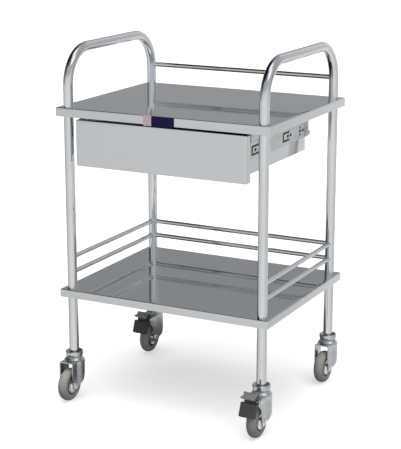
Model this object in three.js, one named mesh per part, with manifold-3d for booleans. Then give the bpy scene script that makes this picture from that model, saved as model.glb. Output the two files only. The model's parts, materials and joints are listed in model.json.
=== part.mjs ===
// Instrument cart of stainless steel: two shelves between inverted-U tube frames, a drawer on
// telescopic slides under the top shelf, rails round the lower shelf, and four swivel casters,
// two of them with foot brakes. Front is -Y, up is +Z, lengths are in millimetres, angles in degrees.
import * as THREE from 'three';
import { mergeVertices } from 'three/addons/utils/BufferGeometryUtils.js';
import Module from 'manifold-3d';

const wasm = await Module();
wasm.setup();

// Shelves: sheet pans with a down-turned rim and an inward hem.
const SHELF_WIDTH = 600;
const SHELF_DEPTH = 480;
const SHEET = 1.2;
const TOP_DECK_HEIGHT = 786.7;
const TOP_RIM = 23;
const LOWER_DECK_HEIGHT = 304;
const LOWER_RIM = 21;
const HEM = 12;

// Handle frames: one tube each, bent into an inverted U.
const TUBE_DIAMETER = 25.4;
const TUBE_WALL = 1.2;
const LEG_INSET_X = 25.3;
const LEG_INSET_Y = 22.7;
const LEG_FOOT_HEIGHT = 120;
const HANDLE_HEIGHT = 931.5;
const HANDLE_BEND_RADIUS = 93;

// Rails between the legs, given by the height of their axes above the deck.
const RAIL_WALL = 1;
const TOP_RAIL_DIAMETER = 12.7;
const TOP_RAIL_RISE = 55.4;
const TOP_RAIL_COPE = 1.3;
const LOWER_RAIL_DIAMETER = 12;
const LOWER_RAIL_RISES = { lower: 43, upper: 84 };

// Drawer: a folded front pan fixed to an open box.
const DRAWER_FRONT_WIDTH = 480;
const DRAWER_FRONT_BOTTOM = 640.3;
const DRAWER_FRONT_TOP = 759.2;
const DRAWER_FRONT_THICKNESS = 20;
const DRAWER_BOX_WIDTH = 454;
const DRAWER_BOX_BACK = 146;
const DRAWER_BOX_BOTTOM = 655;
const DRAWER_BOX_TOP = 748;
const DRAWER_LIP = 10;

// Telescopic slides: three channel members, one inside another.
const SLIDE_FRONT = -219;
const SLIDE_LENGTH = 350;
const SLIDE_AXIS_HEIGHT = 718;
const SLIDE_OUTER_FACE = 240;
const SLIDE_SHEET = 1.2;
const SLIDE_OUTER_HEIGHT = 45;
const SLIDE_OUTER_DEPTH = 9.5;
const SLIDE_MIDDLE_HEIGHT = 38;
const SLIDE_MIDDLE_DEPTH = 7;
const SLIDE_INNER_HEIGHT = 30;
const SLIDE_INNER_DEPTH = 7.5;
const SLIDE_END_SETBACK = 2;

// Cut-outs of a slide's outer member, placed from its front end and its axis.
const HOOK_STARTS = [0, 184];
const HOOK_LENGTH = 46;
const HOOK_HEIGHT = 25;
const HOOK_CUT = 5;
const HOOK_STEM = 8;
const SLOT_STATIONS = [28, 221, 239, 298, 316];
const SLOT_SIZE = [12, 7];
const HOLE_PAIR_STATIONS = [104, 298];
const HOLE_PAIR_SIZE = [9, 5.5];
const HOLE_PAIR_OFFSET = 9;

// Hangers: sheet angles that carry the slides under the top deck.
const HANGER_SHEET = 1.5;
const HANGER_FLANGE = 24;
const HANGER_STRIP_BOTTOM = 741;
const HANGER_TAB_BOTTOM = 699;
const HANGER_TAB_WIDTH = 20;
const HANGER_TAB_STATIONS = [76, 340];
const HANGER_LUG_LENGTH = 10;
const HANGER_LUG_HEIGHT = 12;
const HANGER_SCREW_RADIUS = 4;
const HANGER_SCREW_HEAD = 2.2;

// Blank label on the front rim.
const LABEL_WIDTH = 85.5;
const LABEL_HEIGHT = 26;
const LABEL_THICKNESS = 0.8;

// Casters.
const WHEEL_RADIUS = 43.7;
const WHEEL_TRAIL = 27.6;
const TYRE_WIDTH = 27;
const TYRE_SHOULDER = 10.5;
const TYRE_BORE_RADIUS = 26.8;
const CORE_WIDTH = 24;
const HUB_RADIUS = 21;
const HUB_WIDTH = 30;
const HUB_RIM_WIDTH = 25;
const AXLE_RADIUS = 4;
const AXLE_CLEARANCE = 0.4;
const AXLE_NUT_RADIUS = 7.2;
const AXLE_NUT_LENGTH = 5.5;
const AXLE_NUT_CHAMFER = 1;
const AXLE_HEAD_DOME = 2.5;
const HUB_BOSS_RADIUS = 9;
const HUB_BOSS_FOOT = 2;
const HUB_DISH = 1;
const CORE_RECESS = 3;
const KINGPIN_RADIUS = 6;
const KINGPIN_HEAD_RADIUS = 9;
const KINGPIN_HEAD_HEIGHT = 4;
const CAP_RADIUS = 23;
const CAP_FOOT_RADIUS = 21;
const CAP_TAPER = 3;
const CAP_CHAMFER = 1.5;
const CAP_TOP = 131;
const STEM_TOP = 163;
const STEM_CHAMFER = 2;

// Caster fork: a pressed shell, straight beside the wheel and rounded about the kingpin behind it.
const FORK_HALF_WIDTH = 20.5;
const FORK_SHEET = 2.5;
const FORK_TOP = 108.5;
const FORK_FRONT = -42;
const FORK_FLARE_START = -20;
const FORK_ROUND_RADIUS = 27.5;
const FORK_ROUND_ANGLE = -22;
const FORK_SKIRT = 9;
const FORK_PLATE_REAR = 9;
const FORK_REAR_CORNER_HEIGHT = 76;
const FORK_CURVE_PULL = [4, 55];
const FORK_EYE_RADIUS = 12.5;
const FORK_EYE_ANGLE = -25;
const HOUSING_FOOT_RADIUS = 25;
const HOUSING_RADIUS = 21;
const HOUSING_CHAMFER = 1;
const HOUSING_TOP = 116.3;

// Foot brake of a braked caster.
const BRAKE_PIVOT = [-47, 102];
const BRAKE_PIN_RADIUS = 3;
const BRAKE_PIN_PROUD = 2;
const BRAKE_EAR_FRONT = -61;
const BRAKE_EAR_HEIGHT = 12;
const BRAKE_EAR_FOOT = 30;
const BRAKE_SHEET = 2.5;
const BRAKE_WIDTH = 35;
// The lever's centre line and the pad's outline, as (Y, Z) steps from the pivot.
const LEVER_LINE = [[-10, -18], [0, 0], [-3, 17], [-11, 25], [-31, 19], [-28, 10]];
const LEVER_PRONGS = [[-11, 25], [-30, 19]];
const LEVER_PRONG_LENGTH = 5;
const LEVER_PRONG_HALF_DEPTH = 4;
const LEVER_PRONG_DROP = 3;
const PAD_OUTLINE = [[-22, 4], [-31, 4], [-44, -27], [-37, -33], [-29, -18]];
const PAD_WIDTH = 43;

const CLEARANCE = 0.3;
const LEG_X = SHELF_WIDTH / 2 - LEG_INSET_X;
const LEG_Y = SHELF_DEPTH / 2 - LEG_INSET_Y;
const TUBE_RADIUS = TUBE_DIAMETER / 2;
const OVERCUT = 1;

// Facets round the turned and bent pieces.
const FACETS = { pin: 12, stem: 16, cap: 20, hub: 20, tyre: 28, curve: 6, tube: 8, bend: 6, shoulder: 4 };

// ---- Solid helpers ----

function toManifold(geometry) {
  const bare = geometry.clone();
  bare.deleteAttribute('normal');
  bare.deleteAttribute('uv');
  const merged = mergeVertices(bare, 1e-4);
  return new wasm.Manifold(new wasm.Mesh({
    numProp: 3,
    vertProperties: new Float32Array(merged.attributes.position.array),
    triVerts: new Uint32Array(merged.index.array),
  }));
}

function toGeometry(manifold) {
  const mesh = manifold.getMesh();
  const geometry = new THREE.BufferGeometry();
  geometry.setAttribute('position', new THREE.BufferAttribute(mesh.vertProperties, 3));
  geometry.setIndex(new THREE.BufferAttribute(mesh.triVerts, 1));
  geometry.computeVertexNormals();
  return geometry;
}

function cut(base, tools) {
  return toGeometry(tools.reduce((solid, tool) => solid.subtract(toManifold(tool)), toManifold(base)));
}

function join(pieces) {
  const [first, ...rest] = pieces.map(toManifold);
  return toGeometry(rest.reduce((solid, piece) => solid.add(piece), first));
}

function box(low, high) {
  const size = high.map((value, axis) => value - low[axis]);
  const centre = high.map((value, axis) => (value + low[axis]) / 2);
  return new THREE.BoxGeometry(...size).translate(...centre);
}

function polygon(points) {
  return new THREE.Shape(points.map(([x, y]) => new THREE.Vector2(x, y)));
}

// Extrudes an (X, Y) outline from z = from to z = to.
function extrudeAlongZ(shape, from, to) {
  const geometry = new THREE.ExtrudeGeometry(shape, {
    depth: to - from,
    bevelEnabled: false,
    curveSegments: FACETS.curve,
  });
  return geometry.translate(0, 0, from);
}

// Extrudes a (Y, Z) outline from x = from to x = to.
function extrudeAlongX(shape, from, to) {
  const geometry = extrudeAlongZ(shape, 0, to - from);
  const basis = new THREE.Matrix4().makeBasis(
    new THREE.Vector3(0, 1, 0), new THREE.Vector3(0, 0, 1), new THREE.Vector3(1, 0, 0));
  return geometry.applyMatrix4(basis).translate(from, 0, 0);
}

// Extrudes an (X, Z) outline from y = from to y = to.
function extrudeAlongY(shape, from, to) {
  return extrudeAlongZ(shape, 0, to - from).rotateX(Math.PI / 2).translate(0, to, 0);
}

// Turns an [r, z] outline about the Z axis, listed so that its outer side runs upwards.
function turned(outline, segments) {
  const points = outline.map(([radius, height]) => new THREE.Vector2(radius, height));
  return new THREE.LatheGeometry(points, segments).rotateX(Math.PI / 2);
}

// Turns an [r, x] outline about the X axis.
function turnedAboutX(outline, segments) {
  const points = outline.map(([radius, along]) => new THREE.Vector2(radius, along));
  return new THREE.LatheGeometry(points, segments).rotateZ(-Math.PI / 2);
}

function cylinderX(radius, from, to, y, z, segments = FACETS.pin) {
  const geometry = new THREE.CylinderGeometry(radius, radius, to - from, segments);
  return geometry.rotateZ(-Math.PI / 2).translate((from + to) / 2, y, z);
}

function cylinderZ(radius, from, to, x, y, segments = FACETS.stem) {
  const geometry = new THREE.CylinderGeometry(radius, radius, to - from, segments);
  return geometry.rotateX(Math.PI / 2).translate(x, y, (from + to) / 2);
}

function ring(outerRadius, innerRadius) {
  const shape = new THREE.Shape().absarc(0, 0, outerRadius, 0, 2 * Math.PI, false);
  shape.holes.push(new THREE.Path().absarc(0, 0, innerRadius, 0, 2 * Math.PI, true));
  return shape;
}

// A bent strip of even thickness in the (Y, Z) plane, as a closed outline round its centre line.
function stripOutline(centreLine, thickness) {
  const points = centreLine.map(([x, y]) => new THREE.Vector2(x, y));
  const sides = [1, -1].map((side) => points.map((point, index) => {
    const before = points[Math.max(index - 1, 0)];
    const after = points[Math.min(index + 1, points.length - 1)];
    const into = point.clone().sub(index ? before : point).normalize();
    const out = after.clone().sub(point).normalize();
    const along = into.clone().add(out).normalize();
    const leg = index ? into : out;
    const stretch = 1 / Math.max(along.dot(leg), 0.5);
    const offset = new THREE.Vector2(-along.y, along.x).multiplyScalar(side * stretch * thickness / 2);
    return point.clone().add(offset);
  }));
  return new THREE.Shape([...sides[1], ...sides[0].reverse()]);
}

// ---- Scene helpers ----

const FINISHES = {
  polished: { color: 0xc9cbcd, roughness: 0.12, metalness: 1 },
  sheet: { color: 0xb9bbbd, roughness: 0.35, metalness: 1 },
  zinc: { color: 0xa9adaf, roughness: 0.45, metalness: 1 },
  darkSteel: { color: 0x7c7d7e, roughness: 0.5, metalness: 0.9 },
  tyre: { color: 0x7d7d76, roughness: 0.75, metalness: 0 },
  blackPlastic: { color: 0x232324, roughness: 0.6, metalness: 0 },
  label: { color: 0x2b2f6b, roughness: 0.5, metalness: 0 },
};

function addPiece(group, name, geometry, finish) {
  const mesh = new THREE.Mesh(geometry, new THREE.MeshStandardMaterial(FINISHES[finish]));
  mesh.name = name;
  group.add(mesh);
  return mesh;
}

// ---- Handle frames ----

// The centre line of an inverted U in the (Y, Z) plane, with stations only where the tube needs them.
class HandleRoute extends THREE.Curve {
  constructor(bendSteps) {
    super();
    this.stations = [[new THREE.Vector3(0, -LEG_Y, LEG_FOOT_HEIGHT), new THREE.Vector3(0, 0, 1)]];
    for (const side of [-1, 1]) {
      for (let step = 0; step <= bendSteps; step += 1) {
        const turn = (Math.PI / 2) * (step / bendSteps) + (side > 0 ? Math.PI / 2 : 0);
        const centreY = side * (LEG_Y - HANDLE_BEND_RADIUS);
        const y = centreY - HANDLE_BEND_RADIUS * Math.cos(turn);
        const z = HANDLE_HEIGHT - HANDLE_BEND_RADIUS + HANDLE_BEND_RADIUS * Math.sin(turn);
        const tangent = new THREE.Vector3(0, Math.sin(turn), Math.cos(turn));
        this.stations.push([new THREE.Vector3(0, y, z), tangent]);
      }
    }
    this.stations.push([new THREE.Vector3(0, LEG_Y, LEG_FOOT_HEIGHT), new THREE.Vector3(0, 0, -1)]);
  }

  station(fraction) {
    return this.stations[Math.round(fraction * (this.stations.length - 1))];
  }

  getPoint(fraction) {
    return this.station(fraction)[0].clone();
  }

  getPointAt(fraction) {
    return this.getPoint(fraction);
  }

  getTangent(fraction) {
    return this.station(fraction)[1].clone();
  }

  getTangentAt(fraction) {
    return this.getTangent(fraction);
  }
}

function handleFrame() {
  const route = new HandleRoute(FACETS.bend);
  return new THREE.ExtrudeGeometry(ring(TUBE_RADIUS, TUBE_RADIUS - TUBE_WALL), {
    steps: route.stations.length - 1,
    extrudePath: route,
    curveSegments: FACETS.tube,
  });
}

// ---- Shelves ----

function shelf(deckHeight, rim) {
  const bottom = deckHeight - rim;
  const corner = [SHELF_WIDTH / 2, SHELF_DEPTH / 2];
  const inside = corner.map((value) => value - SHEET);
  const mouth = corner.map((value) => value - HEM);
  const blank = box([-corner[0], -corner[1], bottom], [corner[0], corner[1], deckHeight]);
  const hollow = box(
    [-inside[0], -inside[1], bottom + SHEET],
    [inside[0], inside[1], deckHeight - SHEET]);
  const opening = box(
    [-mouth[0], -mouth[1], bottom - OVERCUT],
    [mouth[0], mouth[1], bottom + SHEET + OVERCUT]);
  const legHoles = [-LEG_X, LEG_X].flatMap((x) => [-LEG_Y, LEG_Y].map((y) => cylinderZ(
    TUBE_RADIUS + CLEARANCE, bottom - OVERCUT, deckHeight + OVERCUT, x, y)));
  return cut(blank, [hollow, opening, ...legHoles]);
}

// ---- Rails ----

// A straight tube between two leg axes, its ends coped to the legs with the given gap.
function rail(from, to, height, diameter, gap = CLEARANCE) {
  const radius = diameter / 2;
  const length = Math.hypot(to[0] - from[0], to[1] - from[1]);
  const tube = extrudeAlongZ(ring(radius, radius - RAIL_WALL), 0, length);
  const direction = new THREE.Vector3(to[0] - from[0], to[1] - from[1], 0).normalize();
  const turn = new THREE.Quaternion().setFromUnitVectors(new THREE.Vector3(0, 0, 1), direction);
  tube.applyQuaternion(turn).translate(from[0], from[1], height);
  const legs = [from, to].map(([x, y]) => cylinderZ(
    TUBE_RADIUS + gap, height - diameter, height + diameter, x, y));
  return cut(tube, legs);
}

// ---- Drawer ----

function drawerFront() {
  const front = -SHELF_DEPTH / 2;
  const back = front + DRAWER_FRONT_THICKNESS;
  const half = DRAWER_FRONT_WIDTH / 2;
  const blank = box([-half, front, DRAWER_FRONT_BOTTOM], [half, back, DRAWER_FRONT_TOP]);
  const hollow = box(
    [-half + SHEET, front + SHEET, DRAWER_FRONT_BOTTOM + SHEET],
    [half - SHEET, back + OVERCUT, DRAWER_FRONT_TOP - SHEET]);
  return cut(blank, [hollow]);
}

function drawerBox() {
  const front = -SHELF_DEPTH / 2 + DRAWER_FRONT_THICKNESS + CLEARANCE;
  const half = DRAWER_BOX_WIDTH / 2;
  const lipBottom = DRAWER_BOX_TOP - DRAWER_LIP;
  const blank = box([-half, front, DRAWER_BOX_BOTTOM], [half, DRAWER_BOX_BACK, DRAWER_BOX_TOP]);
  const hollow = box(
    [-half + SHEET, front + SHEET, DRAWER_BOX_BOTTOM + SHEET],
    [half - SHEET, DRAWER_BOX_BACK - SHEET, lipBottom]);
  const mouth = box(
    [-half + 2 * SHEET, front + 2 * SHEET, lipBottom - OVERCUT],
    [half - 2 * SHEET, DRAWER_BOX_BACK - 2 * SHEET, DRAWER_BOX_TOP + OVERCUT]);
  return cut(blank, [hollow, mouth]);
}

// ---- Telescopic slides, made for the right side (+X) and mirrored for the left ----

// A channel along Y whose web stands at webX and whose flanges run inwards or outwards from it.
function channel(webX, depth, height, from, to) {
  const inner = Math.sign(depth) * SLIDE_SHEET;
  const half = height / 2;
  const low = SLIDE_AXIS_HEIGHT - half;
  const high = SLIDE_AXIS_HEIGHT + half;
  const outline = polygon([
    [webX, low], [webX + depth, low], [webX + depth, low + SLIDE_SHEET], [webX + inner, low + SLIDE_SHEET],
    [webX + inner, high - SLIDE_SHEET], [webX + depth, high - SLIDE_SHEET], [webX + depth, high],
    [webX, high],
  ]);
  return extrudeAlongY(outline, from, to);
}

function slideOuter() {
  const web = [SLIDE_OUTER_FACE - SLIDE_SHEET - OVERCUT, SLIDE_OUTER_FACE + OVERCUT];
  const window = (from, to, low, high) => box(
    [web[0], SLIDE_FRONT + from, SLIDE_AXIS_HEIGHT + low],
    [web[1], SLIDE_FRONT + to, SLIDE_AXIS_HEIGHT + high]);
  const slot = (station, rise, [length, height]) => window(
    station - length / 2, station + length / 2, rise - height / 2, rise + height / 2);
  const half = HOOK_HEIGHT / 2;
  const hooks = HOOK_STARTS.flatMap((start) => [
    window(start + HOOK_CUT, start + HOOK_LENGTH, half - HOOK_CUT, half),
    window(start + HOOK_CUT, start + HOOK_LENGTH, -half, HOOK_CUT - half),
    window(start + HOOK_CUT, start + HOOK_CUT + HOOK_STEM, -half, half),
  ]);
  const slots = SLOT_STATIONS.map((station) => slot(station, 0, SLOT_SIZE));
  const pairs = HOLE_PAIR_STATIONS.flatMap((station) => [-1, 1].map(
    (side) => slot(station, side * HOLE_PAIR_OFFSET, HOLE_PAIR_SIZE)));
  const member = channel(
    SLIDE_OUTER_FACE, -SLIDE_OUTER_DEPTH, SLIDE_OUTER_HEIGHT, SLIDE_FRONT, SLIDE_FRONT + SLIDE_LENGTH);
  return cut(member, [...hooks, ...slots, ...pairs]);
}

function slideMiddle() {
  const webX = SLIDE_OUTER_FACE - SLIDE_SHEET - 2 * CLEARANCE;
  const front = SLIDE_FRONT + SLIDE_END_SETBACK;
  return channel(webX, -SLIDE_MIDDLE_DEPTH, SLIDE_MIDDLE_HEIGHT, front, SLIDE_FRONT + SLIDE_LENGTH);
}

function slideInner() {
  const webX = DRAWER_BOX_WIDTH / 2 + CLEARANCE;
  const back = SLIDE_FRONT + SLIDE_LENGTH - SLIDE_END_SETBACK;
  return channel(webX, SLIDE_INNER_DEPTH, SLIDE_INNER_HEIGHT, SLIDE_FRONT, back);
}

function slideHanger() {
  const faceX = SLIDE_OUTER_FACE + CLEARANCE;
  const outsideX = faceX + HANGER_SHEET;
  const top = TOP_DECK_HEIGHT - SHEET - CLEARANCE;
  const back = SLIDE_FRONT + SLIDE_LENGTH;
  const strip = box([faceX, SLIDE_FRONT, HANGER_STRIP_BOTTOM], [outsideX, back, top]);
  const flange = box(
    [outsideX - HANGER_FLANGE, SLIDE_FRONT, top - HANGER_SHEET],
    [outsideX, back, top]);
  const tabs = HANGER_TAB_STATIONS.flatMap((station) => {
    const y = SLIDE_FRONT + station;
    const half = HANGER_TAB_WIDTH / 2;
    return [
      box([faceX, y - half, HANGER_TAB_BOTTOM], [outsideX, y + half, HANGER_STRIP_BOTTOM + OVERCUT]),
      cylinderX(
        HANGER_SCREW_RADIUS, outsideX - OVERCUT, outsideX + HANGER_SCREW_HEAD, y, SLIDE_AXIS_HEIGHT),
    ];
  });
  const lug = box(
    [faceX, back - OVERCUT, HANGER_TAB_BOTTOM],
    [outsideX, back + HANGER_LUG_LENGTH, HANGER_TAB_BOTTOM + HANGER_LUG_HEIGHT]);
  return join([strip, flange, ...tabs, lug]);
}

// The mirror image of a solid in the plane X = 0, its faces turned to point outwards again.
function mirrored(geometry) {
  const image = geometry.clone().scale(-1, 1, 1);
  image.index.array.reverse();
  image.computeVertexNormals();
  return image;
}

// ---- Casters, built about the leg axis with the wheel trailing towards -Y ----

function stem() {
  const headTop = FORK_TOP - FORK_SHEET - CLEARANCE;
  const radius = TUBE_RADIUS - TUBE_WALL - 2 * CLEARANCE;
  return turned([
    [0, headTop - KINGPIN_HEAD_HEIGHT],
    [KINGPIN_HEAD_RADIUS, headTop - KINGPIN_HEAD_HEIGHT],
    [KINGPIN_HEAD_RADIUS, headTop],
    [KINGPIN_RADIUS, headTop],
    [KINGPIN_RADIUS, LEG_FOOT_HEIGHT],
    [radius, LEG_FOOT_HEIGHT],
    [radius, STEM_TOP - STEM_CHAMFER],
    [radius - STEM_CHAMFER, STEM_TOP],
    [0, STEM_TOP],
  ], FACETS.stem);
}

// A cap round the foot of the leg, drawn in where it stands over the fork's housing.
function stemCap() {
  const bottom = HOUSING_TOP + 2 * CLEARANCE;
  const floor = LEG_FOOT_HEIGHT - CLEARANCE;
  return turned([
    [KINGPIN_RADIUS + CLEARANCE, bottom],
    [CAP_FOOT_RADIUS, bottom],
    [CAP_RADIUS, bottom + CAP_TAPER],
    [CAP_RADIUS, CAP_TOP - CAP_CHAMFER],
    [CAP_RADIUS - CAP_CHAMFER, CAP_TOP],
    [TUBE_RADIUS + CLEARANCE, CAP_TOP],
    [TUBE_RADIUS + CLEARANCE, floor],
    [KINGPIN_RADIUS + CLEARANCE, floor],
    [KINGPIN_RADIUS + CLEARANCE, bottom],
  ], FACETS.cap);
}

// The fork's side outline in (Y, Z): the crown's skirt, the plate down to the axle's eye, and an
// ear for the brake pin where the caster has a brake.
function forkSide(braked) {
  const shape = new THREE.Shape();
  shape.moveTo(FORK_ROUND_RADIUS + OVERCUT, FORK_TOP);
  if (braked) {
    shape.lineTo(BRAKE_EAR_FRONT, FORK_TOP);
    shape.lineTo(BRAKE_EAR_FRONT, FORK_TOP - BRAKE_EAR_HEIGHT);
    shape.lineTo(FORK_FRONT, FORK_TOP - BRAKE_EAR_FOOT);
  } else {
    shape.lineTo(FORK_FRONT, FORK_TOP);
  }
  shape.lineTo(-WHEEL_TRAIL - FORK_EYE_RADIUS, WHEEL_RADIUS);
  const eyeEnd = 2 * Math.PI + THREE.MathUtils.degToRad(FORK_EYE_ANGLE);
  shape.absarc(-WHEEL_TRAIL, WHEEL_RADIUS, FORK_EYE_RADIUS, Math.PI, eyeEnd, false);
  shape.quadraticCurveTo(...FORK_CURVE_PULL, FORK_PLATE_REAR, FORK_REAR_CORNER_HEIGHT);
  shape.lineTo(FORK_PLATE_REAR, FORK_TOP - FORK_SKIRT);
  shape.lineTo(FORK_ROUND_RADIUS + OVERCUT, FORK_TOP - FORK_SKIRT);
  return shape;
}

// The fork seen from above, drawn in by the given inset and open or closed at the given front.
function forkPlan(inset, front) {
  const half = FORK_HALF_WIDTH - inset;
  const start = THREE.MathUtils.degToRad(FORK_ROUND_ANGLE);
  const shape = new THREE.Path();
  shape.moveTo(-half, front);
  shape.lineTo(half, front);
  shape.lineTo(half, FORK_FLARE_START);
  shape.absarc(0, 0, FORK_ROUND_RADIUS - inset, start, Math.PI - start, false);
  shape.lineTo(-half, FORK_FLARE_START);
  return shape.getPoints(FACETS.curve);
}

function fork(braked) {
  const under = FORK_TOP - FORK_SHEET;
  const reach = FORK_ROUND_RADIUS + 2 * OVERCUT;
  const front = BRAKE_EAR_FRONT - OVERCUT;
  const inside = FORK_HALF_WIDTH - FORK_SHEET;
  const surround = new THREE.Shape([
    new THREE.Vector2(-reach, front - OVERCUT),
    new THREE.Vector2(reach, front - OVERCUT),
    new THREE.Vector2(reach, reach),
    new THREE.Vector2(-reach, reach),
  ]);
  surround.holes.push(new THREE.Path(forkPlan(0, front)));
  const shell = cut(extrudeAlongX(forkSide(braked), OVERCUT - reach, reach - OVERCUT), [
    extrudeAlongZ(surround, 0, HOUSING_TOP),
    extrudeAlongZ(new THREE.Shape(forkPlan(FORK_SHEET, front - 2 * OVERCUT)), 0, under),
    box([-inside, front - OVERCUT, 0], [inside, FORK_FRONT, HOUSING_TOP]),
  ]);
  const housing = turned([
    [0, under],
    [HOUSING_FOOT_RADIUS - HOUSING_CHAMFER, under],
    [HOUSING_FOOT_RADIUS, FORK_TOP],
    [HOUSING_RADIUS, HOUSING_TOP - HOUSING_CHAMFER],
    [HOUSING_RADIUS - HOUSING_CHAMFER, HOUSING_TOP],
    [0, HOUSING_TOP],
  ], FACETS.cap);
  const holes = [
    cylinderZ(
      KINGPIN_RADIUS + AXLE_CLEARANCE, under - OVERCUT, HOUSING_TOP + OVERCUT, 0, 0, FACETS.pin),
    cylinderX(AXLE_RADIUS + AXLE_CLEARANCE, -reach, reach, -WHEEL_TRAIL, WHEEL_RADIUS),
  ];
  if (braked) {
    holes.push(cylinderX(BRAKE_PIN_RADIUS + AXLE_CLEARANCE, -reach, reach, ...BRAKE_PIVOT));
  }
  return cut(join([shell, housing]), holes);
}

function axle() {
  const face = FORK_HALF_WIDTH + CLEARANCE;
  return turnedAboutX([
    [0, -face - AXLE_NUT_LENGTH],
    [AXLE_NUT_RADIUS, -face - AXLE_NUT_LENGTH + AXLE_NUT_CHAMFER],
    [AXLE_NUT_RADIUS, -face],
    [AXLE_RADIUS, -face],
    [AXLE_RADIUS, face],
    [AXLE_NUT_RADIUS, face],
    [AXLE_NUT_RADIUS, face + AXLE_HEAD_DOME],
    [0, face + 2 * AXLE_HEAD_DOME],
  ], FACETS.pin);
}

function hub() {
  const half = HUB_WIDTH / 2;
  const rimHalf = HUB_RIM_WIDTH / 2;
  const bore = AXLE_RADIUS + AXLE_CLEARANCE;
  const foot = HUB_BOSS_RADIUS + HUB_BOSS_FOOT;
  return turnedAboutX([
    [bore, -half],
    [HUB_BOSS_RADIUS, -half],
    [foot, -rimHalf + HUB_DISH],
    [HUB_RADIUS, -rimHalf],
    [HUB_RADIUS, rimHalf],
    [foot, rimHalf - HUB_DISH],
    [HUB_BOSS_RADIUS, half],
    [bore, half],
    [bore, -half],
  ], FACETS.hub);
}

function wheelCore() {
  const half = CORE_WIDTH / 2 - CORE_RECESS;
  return turnedAboutX([
    [HUB_RADIUS + CLEARANCE, -half],
    [TYRE_BORE_RADIUS - CLEARANCE, -half],
    [TYRE_BORE_RADIUS - CLEARANCE, half],
    [HUB_RADIUS + CLEARANCE, half],
    [HUB_RADIUS + CLEARANCE, -half],
  ], FACETS.hub);
}

// A ring with a rounded tread: flat sides, a quarter-round shoulder each side and a narrow crown.
function tyre() {
  const half = TYRE_WIDTH / 2;
  const steps = FACETS.shoulder;
  const shoulder = (side) => Array.from({ length: steps + 1 }, (unused, step) => {
    const turn = (Math.PI / 2) * (side < 0 ? step / steps : 1 - step / steps);
    return [
      WHEEL_RADIUS - TYRE_SHOULDER + TYRE_SHOULDER * Math.sin(turn),
      side * (half - TYRE_SHOULDER + TYRE_SHOULDER * Math.cos(turn)),
    ];
  });
  return turnedAboutX([
    [TYRE_BORE_RADIUS, -half],
    ...shoulder(-1),
    ...shoulder(1),
    [TYRE_BORE_RADIUS, half],
    [TYRE_BORE_RADIUS, -half],
  ], FACETS.tyre);
}

// (Y, Z) points given as steps from the brake's pivot.
function fromPivot(steps) {
  return steps.map(([y, z]) => [BRAKE_PIVOT[0] + y, BRAKE_PIVOT[1] + z]);
}

// The stamped lever: a tongue towards the tyre, the pin, and a bent tread plate with two prongs.
function brakeLever() {
  const half = BRAKE_WIDTH / 2;
  const pinEnd = FORK_HALF_WIDTH + BRAKE_PIN_PROUD;
  const strip = extrudeAlongX(stripOutline(fromPivot(LEVER_LINE), BRAKE_SHEET), -half, half);
  const pin = cylinderX(BRAKE_PIN_RADIUS, -pinEnd, pinEnd, ...BRAKE_PIVOT);
  const prongs = fromPivot(LEVER_PRONGS).map(([y, z]) => box(
    [-half - LEVER_PRONG_LENGTH, y - LEVER_PRONG_HALF_DEPTH, z - LEVER_PRONG_DROP],
    [-half + OVERCUT, y + LEVER_PRONG_HALF_DEPTH, z + OVERCUT]));
  return join([strip, pin, ...prongs]);
}

// The moulded pedal under the lever, leaning forward over the front of the tyre.
function brakePad() {
  return extrudeAlongX(polygon(fromPivot(PAD_OUTLINE)), -PAD_WIDTH / 2, PAD_WIDTH / 2);
}

function addCaster(cart, name, x, y, swivelDegrees, braked) {
  const caster = new THREE.Group();
  caster.position.set(x, y, 0);
  caster.rotation.z = THREE.MathUtils.degToRad(swivelDegrees);
  addPiece(caster, `${name}_stem`, stem(), 'zinc');
  addPiece(caster, `${name}_stem_cap`, stemCap(), 'zinc');
  addPiece(caster, `${name}_fork`, fork(braked), 'zinc');
  if (braked) {
    addPiece(caster, `${name}_brake_lever`, brakeLever(), 'darkSteel');
    addPiece(caster, `${name}_brake_pad`, brakePad(), 'blackPlastic');
  }
  const wheel = new THREE.Group();
  wheel.position.set(0, -WHEEL_TRAIL, WHEEL_RADIUS);
  addPiece(wheel, `${name}_axle`, axle(), 'polished');
  addPiece(wheel, `${name}_hub`, hub(), 'polished');
  addPiece(wheel, `${name}_wheel_core`, wheelCore(), 'blackPlastic');
  addPiece(wheel, `${name}_tyre`, tyre(), 'tyre');
  caster.add(wheel);
  cart.add(caster);
}

// ---- Assembly ----

const cart = new THREE.Group();

for (const [side, x] of [['left', -LEG_X], ['right', LEG_X]]) {
  addPiece(cart, `${side}_handle_frame`, handleFrame(), 'polished').position.x = x;
}
for (const [side, from, to] of [
  ['left', [-LEG_X, -LEG_Y], [-LEG_X, LEG_Y]],
  ['right', [LEG_X, -LEG_Y], [LEG_X, LEG_Y]],
  ['back', [-LEG_X, LEG_Y], [LEG_X, LEG_Y]],
]) {
  for (const [level, rise] of Object.entries(LOWER_RAIL_RISES)) {
    const tube = rail(from, to, LOWER_DECK_HEIGHT + rise, LOWER_RAIL_DIAMETER);
    addPiece(cart, `${side}_${level}_rail`, tube, 'polished');
  }
}
// The top rail meets the legs where their bends begin, so its cope is a little wider.
addPiece(cart, 'top_back_rail', rail([-LEG_X, LEG_Y], [LEG_X, LEG_Y],
  TOP_DECK_HEIGHT + TOP_RAIL_RISE, TOP_RAIL_DIAMETER, TOP_RAIL_COPE), 'polished');

addPiece(cart, 'top_shelf', shelf(TOP_DECK_HEIGHT, TOP_RIM), 'sheet');
addPiece(cart, 'lower_shelf', shelf(LOWER_DECK_HEIGHT, LOWER_RIM), 'sheet');
addPiece(cart, 'label_plate', box(
  [-LABEL_WIDTH / 2, -SHELF_DEPTH / 2 - CLEARANCE - LABEL_THICKNESS, TOP_DECK_HEIGHT - LABEL_HEIGHT],
  [LABEL_WIDTH / 2, -SHELF_DEPTH / 2 - CLEARANCE, TOP_DECK_HEIGHT]), 'label');

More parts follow.
